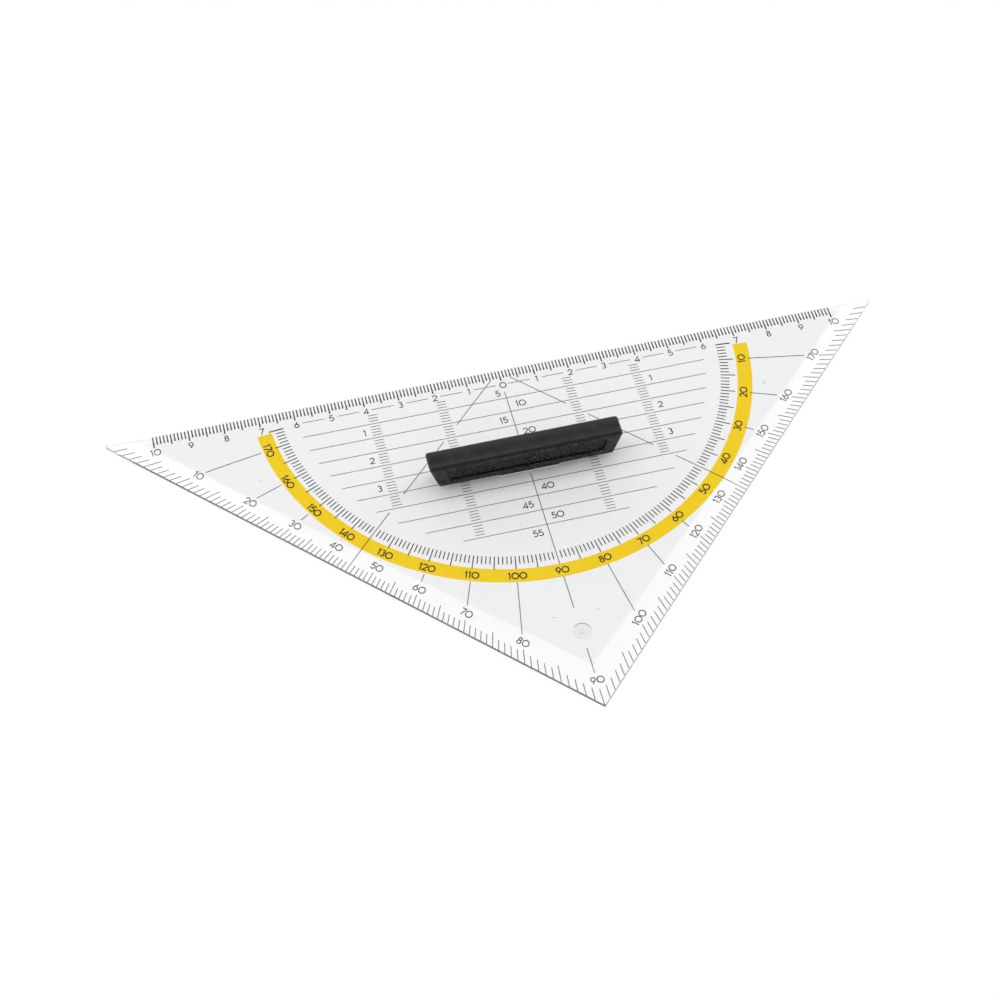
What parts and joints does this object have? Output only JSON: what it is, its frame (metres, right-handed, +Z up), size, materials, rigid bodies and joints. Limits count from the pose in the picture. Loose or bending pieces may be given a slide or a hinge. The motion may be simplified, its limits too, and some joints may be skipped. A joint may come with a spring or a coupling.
{
  "type": "geometry triangle",
  "caption": "Clear right-angled drawing triangle with a zero-centred ruling scale, a printed protractor with a coloured arc, bevelled short sides and a lift-off grip.",
  "frame": {"origin": "middle of the bounding box in plan, at the level of the nub feet that the triangle rests on; the zero mark is at +Y on the ruling edge", "axes": "+X along the ruling edge towards the end where the protractor reads 10, +Y from the right-angled corner to the ruling edge, +Z up out of the grip side"},
  "size_m": [0.2262, 0.1134, 0.0106],
  "materials": {
    "clear_plastic": "polished, clear, moulded",
    "dark_print": "thin printed ink",
    "yellow_print": "thin printed ink",
    "black_plastic": "satin, moulded"
  },
  "bodies": {
    "plate": {"plate": "clear_plastic", "millimetre_scale": "dark_print", "number_row_dashes": "dark_print", "parallel_lines": "dark_print", "centre_line": "dark_print", "diagonal_lines": "dark_print", "depth_columns": "dark_print", "degree_marks": "dark_print", "protractor_arc": "yellow_print", "radial_lines": "dark_print", "side_degree_marks": "dark_print"},
    "grip": {"grip": "black_plastic"}
  },
  "joints": [
    {"name": "grip_lift", "type": "slide", "parent": "plate", "child": "grip", "axis": [0, 0, 1], "range_m": [0, 0.012]}
  ]
}
